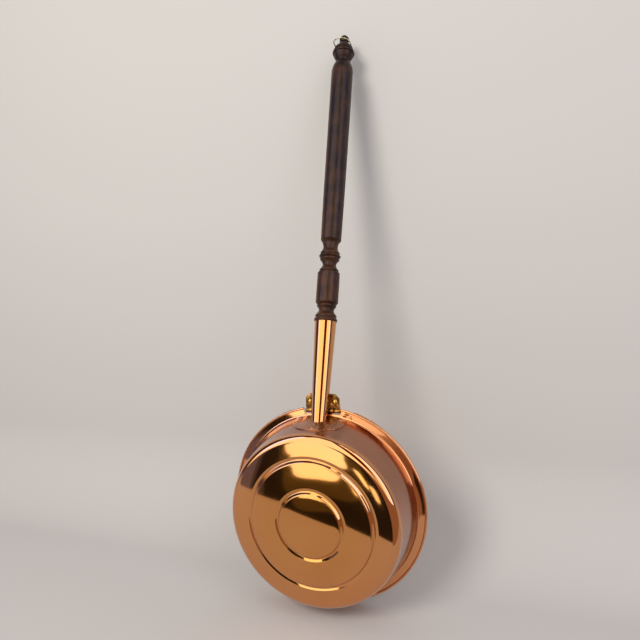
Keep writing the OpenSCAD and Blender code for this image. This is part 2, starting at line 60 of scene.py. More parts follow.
MM = 0.001                        # metres in a millimetre
BENCH = Matrix(((-MM, 0, 0, 0), (0, 0, MM, 0), (0, MM, 0, 0), (0, 0, 0, 1)))

# ---- sizes in millimetres, as in the part's source ----
SHEET = 1.2                       # copper sheet
SEAT = 0.05                       # gap between two seated faces
RIM_R = 140.0
PAN_DEPTH = 71.0
BEAD_R = 1.6
BEAD_SET = 0.1
WALL_TOP_R = 127.5
WALL_LEAN = math.radians(10)
BRIM_Z = PAN_DEPTH - SHEET
BASE_BEND, BRIM_BEND = 10.0, 3.0
OUTER_GROOVE_R, INNER_GROOVE_R = 85.6, 44.8
GROOVE_IN_W, GROOVE_OUT_W = 3.0, 4.4
STEP_H, GROOVE_H, CROWN_H = 3.3, 1.1, 0.1
STEP_BEND, GROOVE_BEND = 3.0, 2.5
DISC_DOME = 0.6                   # how far the middle disc bulges
BASE_Z = 2 * (STEP_H + CROWN_H)
LID_Z = PAN_DEPTH + 0.3
LID_RISE = 30.0
LID_WALL_R, LID_LEAN = 108.0, 10.0
LID_BEND, LID_FOOT_BEND = 9.0, 5.0
LID_OUTER_STEP_R, LID_INNER_STEP_R = 74.0, 36.0
LID_STEP_W, LID_STEP_H, LID_STEP_BEND, LID_CROWN_H = 6.5, 3.5, 5.0, 1.5
VENTS, VENT_R, VENT_CIRCLE_R = 12, 2.5, 55.0
HINGE_Y, HINGE_Z = 133.0, 74.0
BARREL_R, BARREL_LEN = 3.5, 50.0
PIN_R, PIN_PROUD = 1.75, 1.5
CLEAR = 0.6                       # clearance around the hinge's barrel
LID_TRIM = 1.5
LEAF_T = 1.5
PLATE_T = 1.5
PLATE_Z = HINGE_Z - LEAF_T / 2 - SEAT
LID_LEAF_Z = LID_Z + SHEET + SEAT
PLATE_RIVET_X, PLATE_RIVET_Y = 18.0, 13.0
LID_RIVET_X, LID_RIVET_Y = 14.0, 15.0
SMALL_HEAD_R, LARGE_HEAD_R, SHANK_R, TAIL_R, TAIL_T = 3.2, 4.0, 1.5, 2.4, 0.8
HEAD_RATIO = 0.32                 # height of a domed head as a share of its diameter
FLANGE_W, FLANGE_H, FLANGE_SIDE, FLANGE_DROP, FLANGE_T = 73.0, 43.0, 11.5, 4.5, 1.5
FLANGE_REACH = math.radians(20)   # half the angle of wall that the flange is cut from
FLANGE_STEPS = 60                 # faces across it, and along its round edge
FLANGE_RIVETS = ((-28.5, 61.5), (28.5, 61.5), (0.0, 28.5))
FERRULE_LEN, FERRULE_WALL = 135.0, 1.0
FERRULE_SPARE = 12.0              # length below its foot, before it is cut to the wall
FERRULE_FOOT_R, FERRULE_WAIST_R, FERRULE_TOP_R, WAIST_AT = 10.2, 12.0, 15.35, 37.0
TENON_LEN = 66.0
SCREW_AT, SCREW_HEAD_R, SCREW_SHANK_R, SCREW_LEN = 18.0, 3.0, 1.3, 11.0
SLOT_W, SLOT_FLOOR = 1.0, 0.6     # the screw's slot, and its floor as a share of the head
HANDLE_TILT = math.radians(18.9)
FOOT_Z = PAN_DEPTH - 15.8
WIRE_R = 0.9
RING_PLAY = 0.2
RING_REACH, RING_LEAN, RING_BEND, RING_HALF_W = 24.5, math.radians(11), 1.4, 12.25
FLANGE_EDGE, LEAF_EDGE, PIN_EDGE = 0.35, 0.25, 0.4      # how far sharp edges are eased
CUT_LOW, CUT_HIGH, CUT_PAST = 60.0, 80.0, 5.0           # how far the cuts at the hinge reach

ROUND = 256                       # faces around the pan and the lid
TURNED = 128                      # faces around the handle and the ferrule
SMALL = 40                        # faces around a rivet
WIRE_SIDES, WIRE_BEND_STEPS, RING_STEPS = 24, 8, 40     # faces around the wire and along it
BEND_STEPS = 12                   # faces in a bend of the sheet
BEAD_STEPS = 28                   # faces around a rolled rim
DOME_STEPS = 10                   # faces from the top of a rivet's head to its edge
DISC_STEPS = 8                    # faces from the centre of the bottom to its first step
MERGED = 1e-3                     # points closer than this are one
SHARP = math.radians(32)          # edges sharper than this aren't shaded smooth


def wall_r(z):
    """Outside radius of the pan's wall at height z."""
    return WALL_TOP_R - (BRIM_Z - z) * math.tan(WALL_LEAN)


FOOT_Y = wall_r(FOOT_Z)
ON_HANDLE = (Matrix.Translation((0, FOOT_Y, FOOT_Z))
             @ Matrix.Rotation(HANDLE_TILT - math.pi / 2, 4, "X"))

# ---- camera ----
CAMERA_AT = Vector((0.2645, -0.6359, 0.3339))
LOOKS_ALONG = Vector((-0.3461, 0.933, -0.099))
CAMERA_UP = Vector((0.0091, 0.1088, 0.994))
LENS, SENSOR = 31.5, 36.0


def make_camera():
    """The camera stands where the photo was taken from."""
    camera = bpy.data.objects.new("camera", bpy.data.cameras.new("camera"))
    scene.collection.objects.link(camera)
    back = -LOOKS_ALONG.normalized()
    right = CAMERA_UP.cross(back).normalized()
    turn = Matrix((right, back.cross(right), back)).transposed().to_4x4()
    camera.matrix_world = Matrix.Translation(CAMERA_AT) @ turn
    camera.data.lens = LENS
    camera.data.sensor_width = SENSOR
    camera.data.clip_start = 0.01
    scene.camera = camera


# ---- materials ----
def linear(hex_colour):
    """An sRGB hex colour as linear red, green, blue and alpha."""
    def one(c):
        return c / 12.92 if c <= 0.04045 else ((c + 0.055) / 1.055) ** 2.4
    return [one(int(hex_colour[i:i + 2], 16) / 255) for i in (1, 3, 5)] + [1.0]


def add(tree, kind, values=None, links=None, **settings):
    """Adds a node with its settings, the values of its inputs and the links into them."""
    node = tree.nodes.new(kind)
    for name, value in settings.items():
        setattr(node, name, value)
    for name, value in (values or {}).items():
        node.inputs[name].default_value = value
    for name, source in (links or {}).items():
        tree.links.new(source, node.inputs[name])
    return node


def blank(name):
    """A new material with an empty node tree."""
    material = bpy.data.materials.new(name)
    material.use_nodes = True
    material.node_tree.nodes.clear()
    return material, material.node_tree


def finish_shader(tree, shader):
    """Puts a shader on the material's surface."""
    add(tree, "ShaderNodeOutputMaterial", links={"Surface": shader.outputs[0]})


def ramp(tree, source, stops):
    """A colour ramp fed by source, with (position, colour) stops."""
    node = add(tree, "ShaderNodeValToRGB", links={"Fac": source})
    marks = node.color_ramp.elements
    marks[0].position, marks[0].color = stops[0]
    marks[1].position, marks[1].color = stops[-1]
    for place, colour in stops[1:-1]:
        marks.new(place).color = colour
    return node


# Sizes of the finishes are in millimetres too
BUFFED = "#CE873C", "#D69047"     # darker and lighter tone of the copper
BROWNED = "#9E6546", "#A86E4E"
BUFFED_ROUGH, BROWNED_ROUGH = 0.05, 0.28
ROSY = "#D8946A"
ROSY_FROM, ROSY_TO, ROSY_SHARE = 60.0, 130.0, 0.55      # radii, and the share at the outer one
WALL_STARTS, WALL_ENDS = (12.0, 20.0), (64.0, 68.0)     # heights between which the wall browns
HAZE_W = 71.4                     # widths of the patterns' patches
TARNISH_W = 5.0
GRAIN_W = 1.11                    # coarser than real grain, so that it shows
GRAIN_SLIM = 0.06                 # its width as a share of its length
STAIN_W = 18.2
LIGHTER_BELOW, DARK_ABOVE = 250.0, 480.0                 # heights of the wood's zones
LOW_LIGHTENING = 0.13                     # how much lighter the wood is at its lower end, as a share of its tones
GRAIN_SHARE = 0.55                # of the grain in the wood's tone; the rest is the stain's


def per_metre(width):
    """The scale of a noise whose patches are about this many millimetres wide."""
    return 1 / (width * MM)


def copper_tones(tree, where):
    """The colours of buffed and of browned copper, each a little lighter in hazy patches."""
    haze = add(tree, "ShaderNodeTexNoise", {"Scale": per_metre(HAZE_W), "Detail": 3.0},
               {"Vector": where})
    tones = []
    for dark, light in (BUFFED, BROWNED):
        stops = [(0.3, linear(dark)), (0.7, linear(light))]
        tones.append(ramp(tree, haze.outputs["Fac"], stops).outputs["Color"])
    return tones


def lacquered(tree, values, links):
    """Metal under clear lacquer."""
    finish_shader(tree, add(tree, "ShaderNodeBsdfPrincipled",
                            {"Metallic": 1.0, "Coat Weight": 1.0, "Coat Roughness": 0.03,
                             **values}, links))


def spun_copper():
    """Copper sheet, spun and buffed to a mirror, under clear lacquer that has warmed with age:
    a deep orange mirror whose colour is mixed towards rosy from the middle out to the rim.
    Between the two bends of the pan's wall it was left rough and has gone a rosy brown that
    blurs what it shows."""
    material, tree = blank("spun_copper")
    where = add(tree, "ShaderNodeTexCoord").outputs["Object"]
    buffed, browned = copper_tones(tree, where)
    flat = add(tree, "ShaderNodeVectorMath", {1: (1.0, 0.0, 1.0)}, {0: where},
               operation="MULTIPLY")
    radius = add(tree, "ShaderNodeVectorMath", links={0: flat.outputs["Vector"]},
                 operation="LENGTH")
    # The copper's colour is mixed towards rosy from the middle out to the rim.
    rosy = add(tree, "ShaderNodeMapRange",
               {"From Min": ROSY_FROM * MM, "From Max": ROSY_TO * MM, "To Max": ROSY_SHARE},
               {"Value": radius.outputs["Value"]})
    mirror = add(tree, "ShaderNodeMix", {"B": linear(ROSY)},
                 {"Factor": rosy.outputs["Result"], "A": buffed}, data_type="RGBA")
    height = add(tree, "ShaderNodeSeparateXYZ", links={"Vector": where}).outputs["Y"]
    starts = add(tree, "ShaderNodeMapRange",
                 {"From Min": WALL_STARTS[0] * MM, "From Max": WALL_STARTS[1] * MM},
                 {"Value": height}, interpolation_type="SMOOTHSTEP")
    ends = add(tree, "ShaderNodeMapRange",
               {"From Min": WALL_ENDS[0] * MM, "From Max": WALL_ENDS[1] * MM,
                "To Min": 1.0, "To Max": 0.0},
               {"Value": height}, interpolation_type="SMOOTHSTEP")
    on_wall = add(tree, "ShaderNodeMath", links={0: starts.outputs["Result"],
                                                 1: ends.outputs["Result"]}, operation="MULTIPLY")
    colour = add(tree, "ShaderNodeMix", links={
        "Factor": on_wall.outputs[0], "A": mirror.outputs["Result"], "B": browned},
        data_type="RGBA")
    rough = add(tree, "ShaderNodeMapRange", {"To Min": BUFFED_ROUGH, "To Max": BROWNED_ROUGH},
                {"Value": on_wall.outputs[0]})
    lacquered(tree, {}, {"Base Color": colour.outputs["Result"],
                         "Roughness": rough.outputs["Result"]})
    return material


def even_copper(name, share):
    """Lacquered copper that is browned all over by the same share: none on the drawn tube,
    which stays a mirror, and most of the way on the flange, which is dull and rosy brown."""
    material, tree = blank(name)
    where = add(tree, "ShaderNodeTexCoord").outputs["Object"]
    buffed, browned = copper_tones(tree, where)
    colour = add(tree, "ShaderNodeMix", {"Factor": share}, {"A": buffed, "B": browned},
                 data_type="RGBA")
    lacquered(tree, {"Roughness": BUFFED_ROUGH + (BROWNED_ROUGH - BUFFED_ROUGH) * share},
              {"Base Color": colour.outputs["Result"]})
    return material


def aged_brass(name, light, dark, rough_low, rough_high):
    """Rolled brass, polished and then tarnished: a golden metal that goes brown and duller in
    patches about 5 mm wide."""
    material, tree = blank(name)
    where = add(tree, "ShaderNodeTexCoord").outputs["Object"]
    patches = add(tree, "ShaderNodeTexNoise", {"Scale": per_metre(TARNISH_W), "Detail": 4.0},
                  {"Vector": where})
    colour = ramp(tree, patches.outputs["Fac"], [(0.35, linear(dark)), (0.65, linear(light))])
    rough = add(tree, "ShaderNodeMapRange",
                {"To Min": rough_high, "To Max": rough_low}, {"Value": patches.outputs["Fac"]})
    shader = add(tree, "ShaderNodeBsdfPrincipled", {"Metallic": 1.0},
                 {"Base Color": colour.outputs["Color"], "Roughness": rough.outputs["Result"]})
    finish_shader(tree, shader)
    return material


def stained_wood():
    """Turned hardwood, stained dark and waxed: red brown to near black in patches, with grain
    along the handle, a little lighter towards its lower end, and a soft waxy shine."""
    material, tree = blank("stained_hardwood")
    where = add(tree, "ShaderNodeTexCoord").outputs["Object"]
    along = add(tree, "ShaderNodeMapping", {"Rotation": (HANDLE_TILT, 0, 0)}, {"Vector": where})
    stretched = add(tree, "ShaderNodeMapping", {"Scale": (1.0, 1.0, GRAIN_SLIM)},
                    {"Vector": along.outputs["Vector"]})
    grain = add(tree, "ShaderNodeTexNoise",
                {"Scale": per_metre(GRAIN_W), "Detail": 4.0, "Roughness": 0.6},
                {"Vector": stretched.outputs["Vector"]})
    cloud = add(tree, "ShaderNodeTexNoise", {"Scale": per_metre(STAIN_W), "Detail": 3.0},
                {"Vector": along.outputs["Vector"]})
    height = add(tree, "ShaderNodeSeparateXYZ", links={"Vector": where}).outputs["Z"]
    # The wood is made lighter towards the handle's lower end, by height alone.
    lower_lift = add(tree, "ShaderNodeMapRange",
                 {"From Min": LIGHTER_BELOW * MM, "From Max": DARK_ABOVE * MM,
                  "To Min": LOW_LIGHTENING, "To Max": 0.0}, {"Value": height})
    mixed = add(tree, "ShaderNodeMath", {1: GRAIN_SHARE},
                {0: grain.outputs["Fac"], 2: lower_lift.outputs["Result"]}, operation="MULTIPLY_ADD")
    total = add(tree, "ShaderNodeMath", {1: 1 - GRAIN_SHARE},
                {0: cloud.outputs["Fac"], 2: mixed.outputs[0]}, operation="MULTIPLY_ADD")
    colour = ramp(tree, total.outputs[0],
                  [(0.36, linear("#150806")), (0.5, linear("#281208")), (0.66, linear("#48270E"))])
    bump = add(tree, "ShaderNodeBump", {"Strength": 0.12, "Distance": 0.0002},
               {"Height": grain.outputs["Fac"]})
    shader = add(tree, "ShaderNodeBsdfPrincipled",
                 {"Roughness": 0.34, "Specular IOR Level": 0.25},
                 {"Base Color": colour.outputs["Color"], "Normal": bump.outputs["Normal"]})
    finish_shader(tree, shader)
    return material


COPPER = spun_copper()
MIRROR_COPPER = even_copper("drawn_copper", 0.0)
BROWN_COPPER = even_copper("browned_copper", 0.85)
BRASS = aged_brass("rolled_brass", "#B98A4A", "#5E3618", 0.16, 0.36)
RIVET_BRASS = aged_brass("rivet_brass", "#E2B45E", "#B4803A", 0.14, 0.26)
WIRE = aged_brass("polished_brass_wire", "#E6DCB4", "#B7A878", 0.16, 0.28)
WOOD = stained_wood()


# ---- shapes on the bench ----
def arc(a, b, c, radius):
    """Points of the bend that rounds the corner b between a and c."""
    u, v = (a - b).normalized(), (c - b).normalized()
    half = u.angle(v) / 2
    centre = b + (u + v).normalized() * radius / math.sin(half)
    start = b + u * radius / math.tan(half) - centre
    end = b + v * radius / math.tan(half) - centre
    turn = math.pi - 2 * half
    steps = [i / BEND_STEPS for i in range(BEND_STEPS + 1)]
    return [centre + (start * math.sin((1 - t) * turn) + end * math.sin(t * turn)) / math.sin(turn)
            for t in steps]


def rounded(corners):
    """A path of (radius, height, bend) corners with every corner rounded to its bend."""
    points = [Vector(c[:2]) for c in corners]
    path = []
    for i, corner in enumerate(corners):
        if corner[2]:
            path += arc(points[i - 1], points[i], points[i + 1], corner[2])
        else:
            path.append(points[i])
    return path


def moved(path, distance):
    """A path moved sideways, to the left of its own direction."""
    out = []
    for i, point in enumerate(path):
        before = (point - path[i - 1]).normalized() if i else None
        after = (path[i + 1] - point).normalized() if i + 1 < len(path) else before
        before = before or after
        middle = (before + after).normalized()
        left = Vector((-middle.y, middle.x))
        out.append(point + left * distance / middle.dot(after))
    return out


def circle_part(centre, radius, start, end, steps):
    """Points on a circle from one angle to another, in degrees."""
    angles = [math.radians(start + (end - start) * i / steps) for i in range(steps + 1)]
    return [Vector((centre[0] + radius * math.cos(a), centre[1] + radius * math.sin(a)))
            for a in angles]


def revolved(outline, steps, closed=False, turn=2 * math.pi, start=0.0):
    """Spins an outline of (radius, height) points about the Z axis."""
    bm = bmesh.new()
    verts = [bm.verts.new((max(r, 0), 0, z)) for r, z in outline]
    ends = verts[1:] + verts[:1] if closed else verts[1:]
    edges = [bm.edges.new(pair) for pair in zip(verts, ends)]
    bmesh.ops.rotate(bm, verts=verts, matrix=Matrix.Rotation(start, 3, "Z"))
    whole = turn >= 2 * math.pi
    made = bmesh.ops.spin(bm, geom=verts + edges, cent=(0, 0, 0), axis=(0, 0, 1), angle=turn,
                          steps=steps, use_merge=whole)
    if not whole:
        last = [e for e in made["geom_last"] if isinstance(e, bmesh.types.BMEdge)]
        bmesh.ops.edgeloop_fill(bm, edges=edges)
        bmesh.ops.edgeloop_fill(bm, edges=last)
    bmesh.ops.remove_doubles(bm, verts=bm.verts, dist=MERGED)
    bmesh.ops.recalc_face_normals(bm, faces=bm.faces)
    return bm


def block(low, high):
    """A box between two corners."""
    bm = bmesh.new()
    bmesh.ops.create_cube(bm, size=1.0)
    low, high = Vector(low), Vector(high)
    bmesh.ops.scale(bm, verts=bm.verts, vec=high - low)
    bmesh.ops.translate(bm, verts=bm.verts, vec=(low + high) / 2)
    return bm


def bar(start, end, radius, steps=32):
    """A round bar from start to end."""
    start, end = Vector(start), Vector(end)
    bm = bmesh.new()
    bmesh.ops.create_cone(bm, cap_ends=True, segments=steps, radius1=radius, radius2=radius,
                          depth=(end - start).length)
    turn = (end - start).to_track_quat("Z", "Y").to_matrix().to_4x4()
    bmesh.ops.transform(bm, verts=bm.verts, matrix=Matrix.Translation((start + end) / 2) @ turn)
    return bm


def prism(outline, low, high):
    """An outline of (x, z) points run along Y from low to high."""
    bm = bmesh.new()
    face = bm.faces.new([bm.verts.new((x, low, z)) for x, z in outline])
    made = bmesh.ops.extrude_face_region(bm, geom=[face])
    far_end = [v for v in made["geom"] if isinstance(v, bmesh.types.BMVert)]
    bmesh.ops.translate(bm, verts=far_end, vec=(0, high - low, 0))
    bmesh.ops.recalc_face_normals(bm, faces=bm.faces)
    return bm


def joined(parts):
    """One bmesh that holds several."""
    whole = bmesh.new()
    for part in parts:
        mesh = bpy.data.meshes.new("part")
        part.to_mesh(mesh)
        part.free()
        whole.from_mesh(mesh)
        bpy.data.meshes.remove(mesh)
    return whole


def turned_to(bm, matrix):
    """A bmesh moved and turned by a matrix."""
    bmesh.ops.transform(bm, verts=bm.verts, matrix=matrix)
    return bm


def to_object(name, bm):
    """An object of the scene from a bmesh."""
    mesh = bpy.data.meshes.new(name)
    bm.to_mesh(mesh)
    bm.free()
    made = bpy.data.objects.new(name, mesh)
    scene.collection.objects.link(made)
    return made


def baked(piece):
    """Turns a piece's modifiers into its mesh."""
    bpy.context.view_layer.update()
    shown = piece.evaluated_get(bpy.context.evaluated_depsgraph_get())
    mesh = bpy.data.meshes.new_from_object(shown)
    old = piece.data
    piece.modifiers.clear()
    piece.data = mesh
    bpy.data.meshes.remove(old)
    mesh.name = piece.name
    return piece


def carved(piece, cutter, operation="DIFFERENCE"):
    """Cuts a bmesh out of a piece, or keeps only what both fill."""
    tool = to_object("cutter", cutter)
    cut = piece.modifiers.new("cut", "BOOLEAN")
    cut.object, cut.operation, cut.solver = tool, operation, "EXACT"
    baked(piece)
    bpy.data.objects.remove(tool)
    return piece


def eased(piece, width, segments=2):
    """Rounds a piece's sharp edges to a real edge radius."""
    ease = piece.modifiers.new("ease", "BEVEL")
    ease.width, ease.segments = width, segments
    ease.limit_method, ease.angle_limit = "ANGLE", SHARP
    return baked(piece)


def dress(piece, material, slot, body, *nodes, place=BENCH):
    """Puts a finished piece in the frame, smooth, on its body and in place of its CAD nodes."""
    piece.data.transform(place)
    piece.data.materials.clear()
    piece.data.materials.append(material)
    piece.data.shade_smooth()
    piece.data.set_sharp_from_angle(angle=SHARP)
    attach(piece, body)
    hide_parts(*nodes)
    return piece


def notched(piece):
    """Cuts a rim away around the hinge's barrel, and a little further along the pin's ends."""
    for half, reach in ((BARREL_LEN / 2, BARREL_R), (BARREL_LEN / 2 + PIN_PROUD, PIN_R)):
        carved(piece, block((-half - CLEAR, HINGE_Y - reach - CLEAR, CUT_LOW),
                            (half + CLEAR, RIM_R + CUT_PAST, CUT_HIGH)))
    return piece


def make_pan():
    """Spins the stepped bottom, the wall, the brim and its rolled rim as one sheet."""
    disc_r = INNER_GROOVE_R - GROOVE_IN_W
    shares = [i / DISC_STEPS for i in range(DISC_STEPS)]
    disc = [(disc_r * share, DISC_DOME * share ** 2, 0) for share in shares]
    outer_z = STEP_H + CROWN_H
    path = rounded(disc + [
        (disc_r, DISC_DOME, STEP_BEND),
        (INNER_GROOVE_R, STEP_H + GROOVE_H, GROOVE_BEND),
        (INNER_GROOVE_R + GROOVE_OUT_W, STEP_H, STEP_BEND),
        (OUTER_GROOVE_R - GROOVE_IN_W, outer_z, STEP_BEND),
        (OUTER_GROOVE_R, outer_z + STEP_H + GROOVE_H, GROOVE_BEND),
        (OUTER_GROOVE_R + GROOVE_OUT_W, outer_z + STEP_H, STEP_BEND),
        (wall_r(BASE_Z), BASE_Z, BASE_BEND),
        (WALL_TOP_R, BRIM_Z, BRIM_BEND),
        (RIM_R - BEAD_R, BRIM_Z, 0)])
    inside = moved(path, SHEET)
    roll = (RIM_R - BEAD_R, PAN_DEPTH - BEAD_R - BEAD_SET)
    meets = math.degrees(math.asin((BRIM_Z - roll[1]) / BEAD_R))
    bead = circle_part(roll, BEAD_R, 180 - meets, 450, BEAD_STEPS)
    piece = to_object("pan", revolved(path[:-1] + bead + inside[::-1][1:], ROUND))
    notched(piece)
    return dress(piece, COPPER, "copper", "pan", "pan_bowl")


def make_lid():
    """Spins the dome with its steps, then cuts the edge at the hinge and the vents."""
    top = LID_Z + LID_RISE - SHEET
    mid = top - LID_STEP_H - LID_CROWN_H
    low = mid - LID_STEP_H - LID_CROWN_H
    path = rounded([
        (0, top, 0),
        (LID_INNER_STEP_R - LID_STEP_W / 2, top, LID_STEP_BEND),
        (LID_INNER_STEP_R + LID_STEP_W / 2, top - LID_STEP_H, LID_STEP_BEND),
        (LID_OUTER_STEP_R - LID_STEP_W / 2, mid, LID_STEP_BEND),
        (LID_OUTER_STEP_R + LID_STEP_W / 2, mid - LID_STEP_H, LID_STEP_BEND),
        (LID_WALL_R - LID_LEAN, low, LID_BEND),
        (LID_WALL_R, LID_Z, LID_FOOT_BEND),
        (RIM_R - BEAD_R, LID_Z, 0)])
    outside = moved(path, SHEET)
    roll = (RIM_R - BEAD_R, LID_Z + BEAD_R + BEAD_SET)
    meets = math.degrees(math.asin((roll[1] - LID_Z - SHEET) / BEAD_R))
    bead = circle_part(roll, BEAD_R, -90, 180 + meets, BEAD_STEPS)
    piece = to_object("lid", revolved(path + bead + outside[::-1][1:], ROUND))
    notched(piece)
    carved(piece, block((-RIM_R, HINGE_Y - LID_TRIM, CUT_LOW),
                        (RIM_R, RIM_R + CUT_PAST, CUT_HIGH)))
    vents = []
    for i in range(VENTS):
        a = (i + 0.5) * 2 * math.pi / VENTS
        at = Vector((VENT_CIRCLE_R * math.cos(a), VENT_CIRCLE_R * math.sin(a), 0))
        vents.append(bar(at + Vector((0, 0, LID_Z)), at + Vector((0, 0, top + CUT_PAST)), VENT_R))
    carved(piece, joined(vents))
    return dress(piece, COPPER, "copper", "lid", "lid_shell")


def make_ferrule():
    """A tapered tube, cut at its foot to sit on the flange."""
    outer = [(FERRULE_FOOT_R, -FERRULE_SPARE), (FERRULE_FOOT_R, 0),
             (FERRULE_WAIST_R, WAIST_AT), (FERRULE_TOP_R, FERRULE_LEN)]
    tube = outer + [(r - FERRULE_WALL, s) for r, s in outer[::-1]]
    piece = to_object("ferrule", revolved(tube, TURNED, closed=True))
    piece.data.transform(ON_HANDLE)
    gap = SEAT + FLANGE_T / math.cos(WALL_LEAN) + SEAT
    core = [(0, 0), (wall_r(0) + gap, 0), (wall_r(PAN_DEPTH) + gap, PAN_DEPTH), (0, PAN_DEPTH)]
    carved(piece, revolved(core, ROUND))
    return dress(piece, MIRROR_COPPER, "copper", "pan", "ferrule")


def make_flange():
    """A plate curved like the pan's wall and cut to a D, round side down."""
    top = PAN_DEPTH - FLANGE_DROP
    low = top - FLANGE_H
    gap = SEAT / math.cos(WALL_LEAN)
    thick = FLANGE_T / math.cos(WALL_LEAN)
    section = [(wall_r(low) + gap, low), (wall_r(low) + gap + thick, low),
               (wall_r(top) + gap + thick, top), (wall_r(top) + gap, top)]
    plate = revolved(section, FLANGE_STEPS, closed=True, turn=2 * FLANGE_REACH,
                     start=math.pi / 2 - FLANGE_REACH)
    half, round_h = FLANGE_W / 2, FLANGE_H - FLANGE_SIDE
    bottom = [(half * p.x, top - FLANGE_SIDE + round_h * p.y)
              for p in circle_part((0, 0), 1.0, 180, 360, FLANGE_STEPS)]
    outline = [(half, top + CUT_PAST), (-half, top + CUT_PAST)] + bottom
    piece = carved(to_object("flange", plate), prism(outline, RIM_R / 2, RIM_R), "INTERSECT")
    eased(piece, FLANGE_EDGE)
    return dress(piece, BROWN_COPPER, "copper", "pan", "ferrule_flange")


def dome(head_r):
    """The outline of a domed head on z = 0."""
    height = 2 * head_r * HEAD_RATIO
    ball = (height ** 2 + head_r ** 2) / (2 * height)
    spread = math.degrees(math.asin(head_r / ball))
    return circle_part((0, height - ball), ball, 90, 90 - spread, DOME_STEPS)


def rivet(head_r, grip):
    """A rivet with its domed head on z = 0 and its tail under the grip."""
    return revolved(dome(head_r) + [(SHANK_R, 0), (SHANK_R, -grip), (TAIL_R, -grip),
                                    (TAIL_R, -grip - TAIL_T), (0, -grip - TAIL_T)], SMALL)


def make_rivets():
    """The rivets of the flange, of the hinge's plate and of the lid's leaf."""
    out = FLANGE_T + 2 * SEAT
    flange = []
    for x, z in FLANGE_RIVETS:
        turn = Matrix.Rotation(-math.asin(x / wall_r(z)), 4, "Z")
        face = Matrix.Translation((0, wall_r(z), z)) @ Matrix.Rotation(
            -math.pi / 2 - WALL_LEAN, 4, "X")
        flange.append(turned_to(rivet(SMALL_HEAD_R, FLANGE_T + SHEET + 3 * SEAT),
                                turn @ face @ Matrix.Translation((0, 0, out))))
    dress(to_object("rivets_of_flange", joined(flange)), BROWN_COPPER, "copper", "pan",
          "flange_rivets")
    plate, lid = [], []
    for side in (-1, 1):
        at = (side * PLATE_RIVET_X, HINGE_Y + PLATE_RIVET_Y, PLATE_Z - PLATE_T - SEAT)
        plate.append(turned_to(rivet(LARGE_HEAD_R, PLATE_T + LEAF_T + 3 * SEAT),
                               Matrix.Translation(at) @ Matrix.Rotation(math.pi, 4, "X")))
        at = (side * LID_RIVET_X, HINGE_Y - LID_RIVET_Y, LID_LEAF_Z + LEAF_T + SEAT)
        lid.append(turned_to(rivet(SMALL_HEAD_R, LEAF_T + SHEET + 3 * SEAT),
                             Matrix.Translation(at)))
    dress(to_object("rivets_of_hinge", joined(plate)), RIVET_BRASS, "brass", "pan", "hinge_rivets")
    dress(to_object("rivets_of_lid", joined(lid)), RIVET_BRASS, "brass", "lid", "lid_rivets")


def make_pin():
    """The hinge's pin stands a little proud of the barrel, with eased ends."""
    end = BARREL_LEN / 2 + PIN_PROUD
    quarter = circle_part((PIN_R - PIN_EDGE, end - PIN_EDGE), PIN_EDGE, 0, 90, 5)
    half = [(p.x, p.y) for p in quarter] + [(0, end)]
    pin = revolved([(r, -z) for r, z in half[::-1]] + half, SMALL)
    lay = Matrix.Translation((0, HINGE_Y, HINGE_Z)) @ Matrix.Rotation(math.pi / 2, 4, "Y")
    dress(to_object("pin", turned_to(pin, lay)), BRASS, "brass", "pan", "hinge_pin")


def make_hinge():
    """The plate and the two leaves keep their CAD shape, with their edges eased."""
    for node, body in (("hinge_bracket", "pan"), ("hinge_fixed_leaf", "pan"),
                       ("hinge_lid_leaf", "lid")):
        bm = bmesh.new()
        bm.from_mesh(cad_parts[node].data)
        bmesh.ops.remove_doubles(bm, verts=bm.verts, dist=MERGED * MM)
        bmesh.ops.dissolve_limit(bm, angle_limit=math.radians(2), verts=bm.verts, edges=bm.edges)
        piece = to_object(node.replace("hinge_", "eased_"), bm)
        eased(piece, LEAF_EDGE * MM)
        dress(piece, BRASS, "brass", body, node, place=Matrix.Identity(4))


CONE_LEN, NECK_LEN = 8.6, 3.0
KNOB_R, KNOB_HALF = 7.5, 7.7
TURN_STEPS = 12                   # faces along each turned element
KNOB_STEPS = 16
# The turned handle as (length, diameter at the end, diameter in the middle), from the
# ferrule's mouth to the knob's neck
TURNINGS = (
    (6.2, 29.0, 32.8), (5.8, 25.45, 29.9), (8.3, 23.4, 21.4),        # collar, bead, cove
    (4.9, 25.9, 27.4), (2.8, 31.6, 29.65), (42.8, 31.6, 31.9),       # bead, shoulder, drum
    (2.8, 25.9, 30.25), (4.4, 23.5, 27.4), (10.8, 23.0, 19.5),       # shoulder, bead, cove
    (5.8, 26.4, 27.8), (4.1, 26.4, 31.2), (5.8, 23.6, 27.8),         # three beads
    (12.2, 23.4, 21.0), (4.5, 29.6, 26.5),                           # cove, cone to the grip
    (138.0, 32.0, 31.2), (138.0, 33.1, 32.65),                       # grip
    (15.5, 23.4, 29.85), (0.95, 19.9, 21.45), (2.85, 19.9, 19.5),    # shoulder and neck
    (9.8, 31.8, 26.8), (1.2, 32.8, 29.8), (1.74, 34.2, 33.8),        # bulb, first groove in it
    (1.6, 33.6, 34.1), (1.7, 31.8, 29.0),                            # its widest, second groove
    (3.56, 29.6, 31.4), (1.6, 28.6, 26.6),                           # its top, fine step
    (CONE_LEN, 15.7, 21.5), (NECK_LEN, 12.0, 13.0))                  # cone, knob's neck
HOLE_S = FERRULE_LEN + sum(row[0] for row in TURNINGS) - NECK_LEN - CONE_LEN / 2


